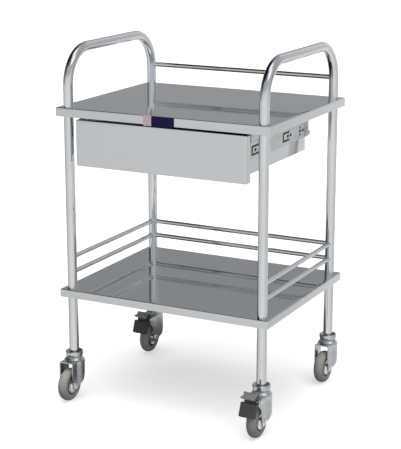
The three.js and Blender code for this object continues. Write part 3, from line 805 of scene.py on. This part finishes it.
def slide_hanger(low, high):
    """A sheet angle under the top deck with two tabs screwed to the slide."""
    sheet = HANGER_SHEET
    outside = low.x + HANGER_FLANGE
    face = outside - sheet / 2
    crest = high.z - sheet / 2
    section = bent_strip([(low.x, crest), (face, crest, HANGER_BEND), (face, HANGER_STRIP_BOTTOM)], sheet)
    back = corners("right_slide_outer")[1].y
    mesh = bmesh.new()
    prism(mesh, section, low.y, back, onto_y)
    root, lug_top = back - HANGER_LUG_OVERLAP, low.z + HANGER_LUG_HEIGHT
    lug = rounded([
        (root, low.z + 0.2), (high.y, low.z + 0.2, 2), (high.y, lug_top, 2), (root, lug_top)], 4)
    prism(mesh, lug, outside - sheet + 0.05, outside - 0.05, onto_x)
    half = HANGER_TAB_WIDTH / 2
    over, under = HANGER_STRIP_BOTTOM + 1, HANGER_STRIP_BOTTOM - 1
    for station in HANGER_TAB_STATIONS:
        y = low.y + station
        tab = rounded([
            (y - half - 3, over), (y - half, under, 2), (y - half, low.z, 4),
            (y + half, low.z, 4), (y + half, under, 2), (y + half + 3, over)], 4)
        prism(mesh, tab, outside - sheet, outside, onto_x)
        seat = Matrix.Translation((outside, y, SLIDE_AXIS)) @ Matrix.Rotation(math.pi / 2, 4, "Y")
        placed(mesh, cross_screw(HANGER_SCREW_RADIUS, HANGER_SCREW_HEAD), seat)
    return mesh


def cutout_shade_sheet(low, high):
    """A dark plastic sheet close behind the outer member's web: painted shade, so that its cut-outs look
    dark.
    """
    mesh = bmesh.new()
    face = high.x - SLIDE_SHEET - SHADE_SHEET_GAP
    front, back = low.y + 2, high.y - 4
    foot, top = SLIDE_AXIS - SHADE_SHEET_HALF, SLIDE_AXIS + SHADE_SHEET_HALF
    outline = rounded([(front, foot, 2), (back, foot, 2), (back, top, 2), (front, top, 2)])
    prism(mesh, outline, face - SHADE_SHEET_THICKNESS, face, onto_x)
    return mesh


def make_slides():
    members = (
        ("slide_hanger", slide_hanger, "frame", ZINC_SLIDE),
        ("slide_outer", slide_outer, "frame", ZINC_SLIDE),
        # The dark sheet behind the outer member's cut-outs is painted shade.
        ("slide_shade_sheet", cutout_shade_sheet, "frame", BLACK_PLASTIC),
        ("slide_middle", slide_middle, "slide_middle", ZINC_SLIDE),
        ("slide_inner", slide_inner, "drawer", ZINC_SLIDE),
    )
    mirror = Matrix.Scale(-1, 4, X_AXIS)
    for member, draw, body, material in members:
        node = "slide_outer" if member == "slide_shade_sheet" else member
        low, high = corners("right_" + node)
        drawn = draw(low, high)
        for side, place in (("right", Matrix.Identity(4)), ("left", mirror)):
            mesh = bmesh.new()
            placed(mesh, drawn, place)
            rider = f"{side}_{body}" if body == "slide_middle" else body
            nodes = [f"{side}_{member}"] if member == node else []
            add_piece(f"{side}_{member}_strip", mesh, material, rider, nodes, edge=0.15)
        drawn.free()


# ---- Label ----

LABEL_CORNER = 1.5
LABEL_SINK = 0.3


def make_label():
    low, high = corners("label_plate")
    outline = rounded([
        (low.x, low.z, LABEL_CORNER), (high.x, low.z, LABEL_CORNER),
        (high.x, high.z, LABEL_CORNER), (low.x, high.z, LABEL_CORNER)])
    mesh = bmesh.new()
    prism(mesh, outline, low.y, high.y + LABEL_SINK, onto_y)
    add_piece("blank_label", mesh, LABEL_FILM, "frame", ["label_plate"], edge=0.2)


# ---- Casters, drawn about the leg axis with the wheel trailing towards -Y ----

CASTERS = ("front_left", "front_right", "back_left", "back_right")
BRAKED = ("front_right", "back_left")
JOINTS = {joint["name"]: joint for joint in frame["joints"]}


def caster_place(name):
    """A caster's leg axis on the floor, turned as the caster stands."""
    swivel = Vector(JOINTS[name + "_swivel_turn"]["pos_m"])
    axis = Vector(JOINTS[name + "_wheel_roll"]["axis"])
    turn = Matrix.Rotation(math.atan2(axis.y, axis.x), 4, "Z")
    return Matrix.Translation((swivel.x, swivel.y, 0)) @ turn


def wheel_place(name):
    return Matrix.Translation(JOINTS[name + "_wheel_roll"]["pos_m"]) @ caster_place(name).to_3x3().to_4x4()


# The front left caster isn't turned, so its nodes' boxes give every caster's sizes.
PLAIN = "front_left"
PLAIN_LEG = caster_place(PLAIN)
TYRE = size(PLAIN + "_tyre")
HUB = size(PLAIN + "_hub")
CORE = size(PLAIN + "_wheel_core")
AXLE = corners(PLAIN + "_axle", wheel_place(PLAIN))
FORK = corners(PLAIN + "_fork", PLAIN_LEG)
CAP = corners(PLAIN + "_stem_cap", PLAIN_LEG)
WHEEL = (PLAIN_LEG.inverted() @ Vector(JOINTS[PLAIN + "_wheel_roll"]["pos_m"])) / MM
PIVOT = (caster_place(BRAKED[0]).inverted() @ Vector(JOINTS[BRAKED[0] + "_brake_press"]["pos_m"])) / MM

FORK_HALF = 20.5
FORK_SHEET = 2.5
FORK_TOP = 108.5
FORK_EDGE_RADIUS = 3.5
FORK_FRONT = -42
FORK_FLARE_START = -22
FORK_FLARE_END = -10.5
FORK_SKIRT = 9
FORK_PLATE_REAR = 9
FORK_EYE_RADIUS = 12.5
FORK_ARC_STEPS = 24
FORK_EDGE_STEPS = 6
FORK_NOTCH_FOOT = 92
KINGPIN_CUT = (90, 130)
EAR_FRONT = -61
EAR_FOOT = 30
HOUSING_FOOT_RADIUS = 25.5
HOUSING_RADIUS = 21
KINGPIN_BORE = 6.4
AXLE_BORE = 4.4
PIN_BORE = 3.4
CAP_GAP = 0.25
CAP_FLOOR = 2.8
WASHER_RADIUS = 9
WASHER_SHEET = 1.2
NUT_RADIUS = 7.4
NUT_HEIGHT = 3.5
TYRE_SHOULDER = 12
CROWN_STEPS = 12


def make_cap(name):
    """The dished cup that closes the leg's foot, with a rolled lip."""
    low, high = CAP[0].z, CAP[1].z
    outer = CAP[1].x
    tube = TUBE_RADIUS + CAP_GAP
    seat = low + CAP_FLOOR
    profile = rounded([
        (tube, high - 5.5), (outer - 5.5, high - 4.6, 2.5), (outer - 3.0, high - 0.6, 1.2),
        (outer - 1.4, high, 0.7), (outer, high - 1.2, 0.9), (outer - 0.3, low + 5, 2),
        (outer - 1.2, low + 1.5, 1.5), (outer - 2.2, low, 0.6), (KINGPIN_BORE, low),
        (KINGPIN_BORE, seat), (tube, seat)])
    mesh = bmesh.new()
    turned(mesh, profile, 72)
    add_piece(name + "_leg_cap", mesh, ZINC_CASTER, "frame", [name + "_stem_cap"], caster_place(name))


def fork_plan(inset, front):
    """The fork seen from above: straight beside the wheel, flared and rounded about the kingpin."""
    half = FORK_HALF - inset
    radius = FORK[1].y - inset
    start = math.asin(FORK_FLARE_END / FORK[1].y)
    arc = []
    for step in range(FORK_ARC_STEPS + 1):
        turn = start + (math.pi - 2 * start) * step / FORK_ARC_STEPS
        bend = 4 if step in (0, FORK_ARC_STEPS) else 0
        arc.append((radius * math.cos(turn), radius * math.sin(turn), bend))
    return rounded([(-half, front), (half, front), (half, FORK_FLARE_START, 12), *arc,
                    (-half, FORK_FLARE_START, 12)], 6)


def fork_side(braked):
    """The fork seen from the side, as (y, z): skirt, plate and eye, and an ear if it has a brake."""
    rear = FORK[1].y + 2
    over = FORK_TOP + 1
    if braked:
        front = [(EAR_FRONT, over), (EAR_FRONT, PIVOT.z - 6, 9), (FORK_FRONT - 1, FORK_TOP - EAR_FOOT, 20)]
    else:
        front = [(FORK_FRONT, over)]
    eye = [
        (WHEEL.y + FORK_EYE_RADIUS * math.cos(math.radians(turn)),
         WHEEL.z + FORK_EYE_RADIUS * math.sin(math.radians(turn)))
        for turn in range(180, 346, 15)]
    skirt = FORK_TOP - FORK_SKIRT
    return rounded([
        (rear, over), *front, (FORK_FRONT - 0.3, WHEEL.z + 22, 30), *eye,
        (FORK_PLATE_REAR - 5, 55, 40), (FORK_PLATE_REAR, 76, 40), (FORK_PLATE_REAR, skirt, 5),
        (rear, skirt)], 8)


def fork_shell(inset, front, top, edge):
    """A solid of the fork's plan, its upper edge rounded."""
    loops = [[onto_z(point, 0) for point in fork_plan(inset, front)]]
    for step in range(FORK_EDGE_STEPS + 1):
        turn = math.pi / 2 * step / FORK_EDGE_STEPS
        plan = fork_plan(inset + edge * (1 - math.cos(turn)), front)
        level = top - edge * (1 - math.sin(turn))
        loops.append([onto_z(point, level) for point in plan])
    mesh = bmesh.new()
    skin(mesh, loops)
    return mesh


def make_fork(name):
    braked = name in BRAKED
    under = FORK_TOP - FORK_SHEET
    reach = FORK[1].y + 3
    mesh = fork_shell(0, EAR_FRONT - 10, FORK_TOP, FORK_EDGE_RADIUS)
    side = bmesh.new()
    prism(side, fork_side(braked), -reach, reach, onto_x)
    mesh = combine(mesh, side, "INTERSECT")
    inside = fork_shell(FORK_SHEET, EAR_FRONT - 20, under, FORK_EDGE_RADIUS - 1)
    for vertex in inside.verts:
        if vertex.co.z < 1:
            vertex.co.z = -1
    mesh = combine(mesh, inside, "DIFFERENCE")
    tools = bmesh.new()
    prism(tools, circle(AXLE_BORE, 24, (WHEEL.y, WHEEL.z)), -reach, reach, onto_x)
    prism(tools, circle(KINGPIN_BORE, 32), *KINGPIN_CUT, onto_z)
    if braked:
        prism(tools, circle(PIN_BORE, 24, (PIVOT.y, PIVOT.z)), -reach, reach, onto_x)
        gap = bmesh.new()
        half = FORK_HALF - FORK_SHEET
        box(gap, (-half, EAR_FRONT - 12, FORK_NOTCH_FOOT), (half, FORK_FRONT, FORK_TOP + 3))
        mesh = combine(mesh, gap, "DIFFERENCE")
    mesh = combine(mesh, tools, "DIFFERENCE")
    add_piece(name + "_fork_sheet", mesh, ZINC_CASTER, name + "_swivel", [name + "_fork"],
              caster_place(name), edge=0.35, sharp=40)

    high = FORK[1].z
    seat = FORK_TOP - 0.6
    housing = rounded([
        (KINGPIN_BORE, seat), (HOUSING_FOOT_RADIUS, seat, 0.3),
        (HOUSING_FOOT_RADIUS - 0.6, FORK_TOP + 1.0, 2), (HOUSING_RADIUS + 0.7, FORK_TOP + 4.6, 5),
        (HOUSING_RADIUS, high - 0.8, 0.8), (HOUSING_RADIUS - 1, high, 0.5), (KINGPIN_BORE, high)])
    race = bmesh.new()
    turned(race, housing, 72)
    add_piece(name + "_swivel_race", race, ZINC_CASTER, name + "_swivel", (), caster_place(name))


def make_axle(name):
    """The bolt through the fork's eyes, with a washer and a hexagon at each side."""
    left, right = AXLE[0].x, AXLE[1].x
    face = FORK_HALF + 0.1
    mesh = bmesh.new()
    turned(mesh, rounded([(0, left), (4, left, 0.8), (4, right - 0.8, 0.8), (0, right)], 4), 32, X_AXIS)
    nut_face = face + WASHER_SHEET - 0.1
    for side in (-1, 1):
        ends = sorted((side * face, side * (face + WASHER_SHEET)))
        washer = rounded([
            (3.9, ends[0]), (WASHER_RADIUS, ends[0], 0.3), (WASHER_RADIUS, ends[1], 0.3), (3.9, ends[1])], 3)
        turned(mesh, washer, 40, X_AXIS)
        ends = sorted((side * nut_face, side * (nut_face + NUT_HEIGHT)))
        prism(mesh, circle(NUT_RADIUS, 6), *ends, onto_x)
    add_piece(name + "_axle_bolt", mesh, BRIGHT, name + "_swivel", [name + "_axle"],
              wheel_place(name), edge=0.4)


def make_wheel(name):
    """The hub, the plastic rim pressed on it and the tyre, each turned about the axle."""
    place = wheel_place(name)
    wheel = name + "_wheel"
    half, rim = HUB.x / 2, HUB.x / 2 - 2.5
    radius = HUB.z / 2
    side = [
        (AXLE_BORE, half), (8.4, half, 0.7), (8.8, half - 1.2, 0.4), (9.6, half - 1.6, 0.5),
        (11.5, half - 4.4, 1.2), (17.2, half - 4.9, 1.5), (19.2, rim, 0.8), (radius, rim, 0.6)]
    profile = rounded(both_halves(side), 4)
    mesh = bmesh.new()
    turned(mesh, profile, 72, X_AXIS)
    add_piece(name + "_hub_disc", mesh, BRIGHT, wheel, [name + "_hub"], place)

    half, outer, inner = CORE.x / 2, CORE.z / 2, HUB.z / 2 + 0.1
    mesh = bmesh.new()
    turned(mesh, rounded(both_halves([(inner, half, 0.8), (outer, half, 0.8)])), 72, X_AXIS)
    add_piece(name + "_wheel_rim", mesh, BLACK_PLASTIC, wheel, [name + "_wheel_core"], place)

    half, outer, inner = TYRE.x / 2, TYRE.z / 2, CORE.z / 2 + 0.1
    face = half - 0.3
    shoulder = outer - TYRE_SHOULDER
    side = [
        (inner - 0.2, half - 2.2, 0.8), (inner + 0.6, half - 0.6, 1), (inner + 3.2, face, 1.2),
        (shoulder - 1, face, 2)]
    for step in range(CROWN_STEPS + 1):
        turn = math.pi / 2 * step / CROWN_STEPS
        side.append((shoulder + TYRE_SHOULDER * math.sin(turn), face * math.cos(turn) ** 0.95 + 0.25))
    profile = rounded(both_halves(side), 4)
    mesh = bmesh.new()
    turned(mesh, profile, 96, X_AXIS)
    add_piece(name + "_tyre_tread", mesh, TYRE_RUBBER, wheel, [name + "_tyre"], place, sharp=50)


# ---- Brakes ----

LEVER_SHEET = 2.5
LEVER_HALF = 17.5
PRONG_HALF = 3.6
PRONG_REACH = 5
PIN_RADIUS = 3
PIN_HEAD_RADIUS = 4.4
# The lever's centre line and the pedal's outline, as (y, z, bend radius) steps from the pivot.
LEVER_LINE = ((-10, -18, 0), (0, 0, 6), (-3, 17, 4), (-11, 25, 4), (-31, 19, 3), (-30, 14, 0))
LEVER_PRONGS = ((-11, 24.3), (-30, 18.6))
PEDAL_OUTLINE = ((-22, 4, 2), (-31, 4, 3), (-44, -27, 3), (-37, -33, 4), (-29, -18, 8))
PEDAL_HALF = 21.5
PEDAL_CHAMFER = (10, 7)
# The pedal's neck up to the lever: two corners, as (x, y, z) steps from the pivot.
NECK_LOW = (-14, -25, 0)
NECK_HIGH = (12, -14, 19)


def make_brake(name):
    """The stamped lever with its prongs, the pin it turns on and the pedal hooked over it."""
    place = caster_place(name)
    body = name + "_brake"
    y, z = PIVOT.y, PIVOT.z
    mesh = bmesh.new()
    lever = bent_strip([(y + step, z + rise, bend) for step, rise, bend in LEVER_LINE], LEVER_SHEET)
    prism(mesh, lever, -LEVER_HALF, LEVER_HALF, onto_x)
    root, neck, tip = 1 - LEVER_HALF, -3 - LEVER_HALF, -PRONG_REACH - LEVER_HALF
    for step, rise in LEVER_PRONGS:
        at_y, at_z = y + step, z + rise
        prong = rounded([
            (root, at_y - PRONG_HALF), (root, at_y + PRONG_HALF), (neck, at_y + PRONG_HALF - 0.4, 2),
            (tip, at_y, 2), (neck, at_y - PRONG_HALF + 0.4, 2)], 4)
        prism(mesh, prong, at_z - 2.6, at_z + 0.9, onto_z)
    add_piece(body + "_lever_sheet", mesh, DARK_STEEL, body, [name + "_brake_lever"],
              place, edge=0.4, sharp=40)

    end, seat = FORK_HALF + 2, FORK_HALF + 0.4
    side = [(PIN_RADIUS, seat), (PIN_HEAD_RADIUS, seat), (PIN_HEAD_RADIUS, end, 0.8), (0, end)]
    mesh = bmesh.new()
    turned(mesh, rounded(both_halves(side), 4), 32, X_AXIS)
    pivot = place @ Matrix.Translation(Vector((0, y, z)) * MM)
    add_piece(body + "_pin", mesh, BRIGHT, body, (), pivot)

    mesh = bmesh.new()
    outline = rounded([(y + step, z + rise, bend) for step, rise, bend in PEDAL_OUTLINE], 5)
    prism(mesh, outline, -PEDAL_HALF, PEDAL_HALF, onto_x)
    foot = z + min(rise for step, rise, bend in PEDAL_OUTLINE)
    across, up = PEDAL_CHAMFER
    beyond = -PEDAL_HALF - 1
    corner = [(beyond, foot - 1), (across - PEDAL_HALF, foot - 1), (beyond, foot + up)]
    tools = bmesh.new()
    prism(tools, corner, y - 60, y, onto_y)
    mesh = combine(mesh, tools, "DIFFERENCE")
    box(mesh, *[Vector((x, y + step, z + rise)) for x, step, rise in (NECK_LOW, NECK_HIGH)])
    add_piece(body + "_pedal", mesh, BLACK_PLASTIC, body, [name + "_brake_pad"],
              place, edge=1.2, sharp=40)


def make_casters():
    for name in CASTERS:
        make_cap(name)
        make_fork(name)
        make_axle(name)
        make_wheel(name)
        if name in BRAKED:
            make_brake(name)
        stem = frame["nodes"][name + "_stem"]
        stem.data.materials.clear()
        stem.data.materials.append(ZINC_CASTER)


# ---- Floor, light and camera ----

CAMERA_AZIMUTH = math.radians(27.17)
CAMERA_ELEVATION = math.radians(14.30)
CAMERA_DISTANCE = 3.7068
CAMERA_TARGET_HEIGHT = 0.4714
CAMERA_LENS = 112.04
CAMERA_SHIFT = (-0.00614, -0.01033)
DISC_SEGMENTS = 96
FLOOR_RADIUS = 14
FLOOR_GLOW = 0.55
# The shade card paints the cart's shadow into what shiny parts reflect of the floor.
SHADE_CARD_PLACE = Vector((-0.10, 0.15, 0.002))
SHADE_CARD_RADIUS = 0.42
SHADE_CARD_LEVEL = 0.10


def make_camera():
    back = Vector((
        math.sin(CAMERA_AZIMUTH) * math.cos(CAMERA_ELEVATION),
        -math.cos(CAMERA_AZIMUTH) * math.cos(CAMERA_ELEVATION),
        math.sin(CAMERA_ELEVATION),
    ))
    data = bpy.data.cameras.new("camera")
    data.sensor_width = 36
    data.lens = CAMERA_LENS
    data.shift_x, data.shift_y = CAMERA_SHIFT
    camera = new_object("camera", data)
    target = CART_MIDDLE + Z_AXIS * CAMERA_TARGET_HEIGHT
    camera.location = target + back * CAMERA_DISTANCE
    camera.rotation_mode = "QUATERNION"
    camera.rotation_quaternion = (-back).to_track_quat("-Z", "Y")
    bpy.context.scene.camera = camera


def make_disc(name, radius, place):
    """A flat disc facing up, its sizes in metres."""
    mesh = bmesh.new()
    mesh.faces.new([mesh.verts.new(onto_z(point, 0)) for point in circle(radius, DISC_SEGMENTS)])
    disc = new_object(name, bpy.data.meshes.new(name))
    mesh.to_mesh(disc.data)
    mesh.free()
    disc.location = place
    return disc


def make_floor():
    """A pale floor that glows a little, so that its shadows stay light; reflections pass it by."""
    floor = make_disc("floor", FLOOR_RADIUS, (0, 0, 0))
    floor.visible_glossy = floor.visible_diffuse = False
    recipe = Recipe("pale_floor", Metallic=0.0, Roughness=0.9)
    recipe.set(recipe.shader, {"Specular IOR Level": 0.0})
    shade = recipe.noise(recipe.coordinates(), 2.0, 3.0)
    colour = recipe.ramp(shade, [(0.3, (0.49, 0.49, 0.49)), (0.7, (0.51, 0.51, 0.51))])
    recipe.set(recipe.shader, {"Emission Color": WHITE, "Emission Strength": FLOOR_GLOW})
    floor.data.materials.append(recipe.finish(colour=colour))


def make_shade_card():
    """A painted shadow of the cart for reflections: a dark card on the floor under the cart, seen only in
    reflections, its rim fading out.
    """
    card = make_disc("shade_card", SHADE_CARD_RADIUS, CART_MIDDLE + SHADE_CARD_PLACE)
    card.visible_camera = card.visible_diffuse = card.visible_shadow = card.visible_transmission = False
    recipe = Recipe("shade_card", Metallic=0.0, Roughness=1.0)
    recipe.set(recipe.shader, {"Specular IOR Level": 0.0})
    place = recipe.coordinates()
    away = recipe.node("VectorMath", {0: place}, operation="LENGTH").outputs["Value"]
    cover = recipe.between(away, 1.0, 0.0, SHADE_CARD_RADIUS * 0.6, SHADE_CARD_RADIUS)
    mottle = recipe.noise(place, 6.0, 3.0)
    level = recipe.between(mottle, 0.9 * SHADE_CARD_LEVEL, 1.1 * SHADE_CARD_LEVEL)
    recipe.set(recipe.shader, {"Emission Color": WHITE, "Emission Strength": level, "Alpha": cover})
    card.data.materials.append(recipe.finish(colour=BLACK))


# What shiny surfaces see of the studio: bands of elevation, each with (azimuth, brightness) steps
# round it. Azimuth 0 is in front of the cart and 90 to its right.
STUDIO_BANDS = (
    (-90, -60, ((-180, 1.0), (180, 1.0))),
    (-30, -7, ((-180, 1.00), (-150, 0.90), (-120, 0.50), (-90, 0.62), (-60, 0.78), (-30, 0.90), (0, 0.98),
               (30, 1.06), (60, 0.96), (90, 0.85), (120, 0.78), (150, 0.82), (180, 0.95))),
    (0, 11, ((-180, 0.85), (-162, 0.42), (-155, 0.39), (-130, 0.35), (-100, 0.28), (-60, 0.28), (-42, 0.58),
             (-25, 0.92), (0, 0.90), (30, 1.00), (60, 0.95), (90, 0.85), (115, 0.45), (135, 0.36),
             (152, 0.62), (165, 0.80), (180, 0.85))),
    (14, 18, ((-180, 0.90), (-163, 0.37), (-145, 0.35), (-125, 0.20), (-100, 0.10), (-60, 0.10), (-45, 0.32),
              (-30, 0.70), (0, 0.80), (60, 0.85), (98, 0.75), (120, 0.50), (158, 0.70), (180, 0.90))),
    (23, 40, ((-180, 0.85), (-158, 0.42), (-145, 0.25), (-130, 0.01), (-70, 0.01), (-50, 0.10), (-34, 0.45),
              (0, 0.60), (60, 0.60), (98, 0.62), (120, 0.45), (158, 0.62), (180, 0.85))),
    (46, 60, ((-180, 0.50), (-140, 0.20), (-120, 0.01), (-50, 0.01), (-35, 0.10), (0, 0.40), (35, 0.70),
              (52, 2.20), (72, 2.20), (86, 1.20), (105, 0.55), (150, 0.50), (180, 0.50))),
    (64, 70, ((-180, 0.60), (-140, 0.30), (-120, 0.04), (-40, 0.04), (-15, 0.40), (25, 0.90), (70, 1.40),
              (120, 0.70), (180, 0.60))),
    (80, 90, ((-180, 1.4), (180, 1.4))),
)
STUDIO_BRIGHTEST = 4.0
SKY_TINT = (0.975, 1.0, 1.035, 1)
# Matt surfaces see two soft lamps instead, one overhead and a wider one at the front right.
# Each is (direction, cosine at its edge, brightness outside it, brightness at its middle).
LAMPS = (
    (Vector((0.05, -0.08, 1.0)), 0.72, 0, 3.8),
    (Vector((0.50, -0.62, 0.60)), 0.65, 0.16, 2.0),
)


def studio_light(world, direction):
    """The brightness of STUDIO_BANDS in a direction, eased from band to band."""
    parts = world.node("SeparateXYZ", {"Vector": direction}).outputs
    azimuth = world.math("ARCTAN2", parts["X"], world.math("MULTIPLY", parts["Y"], -1.0))
    azimuth = world.stretch(azimuth, -math.pi, math.pi, eased=False)
    elevation = world.math("ARCSINE", parts["Z"])
    light = below = None
    for start, end, levels in STUDIO_BANDS:
        stops = [(angle / 360 + 0.5, [level / STUDIO_BRIGHTEST] * 3) for angle, level in levels]
        band = world.ramp(azimuth, stops)
        if light is None:
            light = band
        else:
            rise = world.stretch(elevation, math.radians(below), math.radians(start))
            light = world.blend(rise, light, band)
        below = end
    above = world.stretch(parts["Z"], 0.0, 0.1, eased=False)
    return world.blend(1.0, light, world.blend(above, WHITE, SKY_TINT), "MULTIPLY")


def lamp_light(world, direction):
    levels = []
    for towards, edge, outside, middle in LAMPS:
        nearness = world.node("VectorMath", {0: direction, 1: towards}, operation="DOT_PRODUCT")
        levels.append(world.stretch(nearness.outputs["Value"], edge, 1.0, outside, middle))
    return world.math("ADD", *levels)


def make_studio():
    """Shiny surfaces see the bands, matt ones the lamps, and the camera plain white."""
    background = bpy.data.worlds.new("studio")
    bpy.context.scene.world = background
    background.use_nodes = True
    world = Nodes(background.node_tree)
    direction = world.node("TexCoord", {}).outputs["Generated"]
    surroundings = world.node(
        "Background", {"Color": studio_light(world, direction), "Strength": STUDIO_BRIGHTEST}).outputs[0]
    lamps = world.node("Background", {"Color": WHITE, "Strength": lamp_light(world, direction)}).outputs[0]
    plain = world.node("Background", {"Color": WHITE, "Strength": 1.0}).outputs[0]
    rays = world.node("LightPath", {}).outputs
    lit = world.node("MixShader", {"Fac": rays["Is Diffuse Ray"], 1: surroundings, 2: lamps}).outputs[0]
    chosen = world.node("MixShader", {"Fac": rays["Is Camera Ray"], 1: lit, 2: plain}).outputs[0]
    world.set(world.tree.nodes["World Output"], {"Surface": chosen})
    bpy.context.scene.view_settings.view_transform = "Standard"


make_handle_frames()
make_rails()
make_shelves()
make_drawer()
make_slides()
make_label()
make_casters()
make_floor()
make_shade_card()
make_studio()
make_camera()
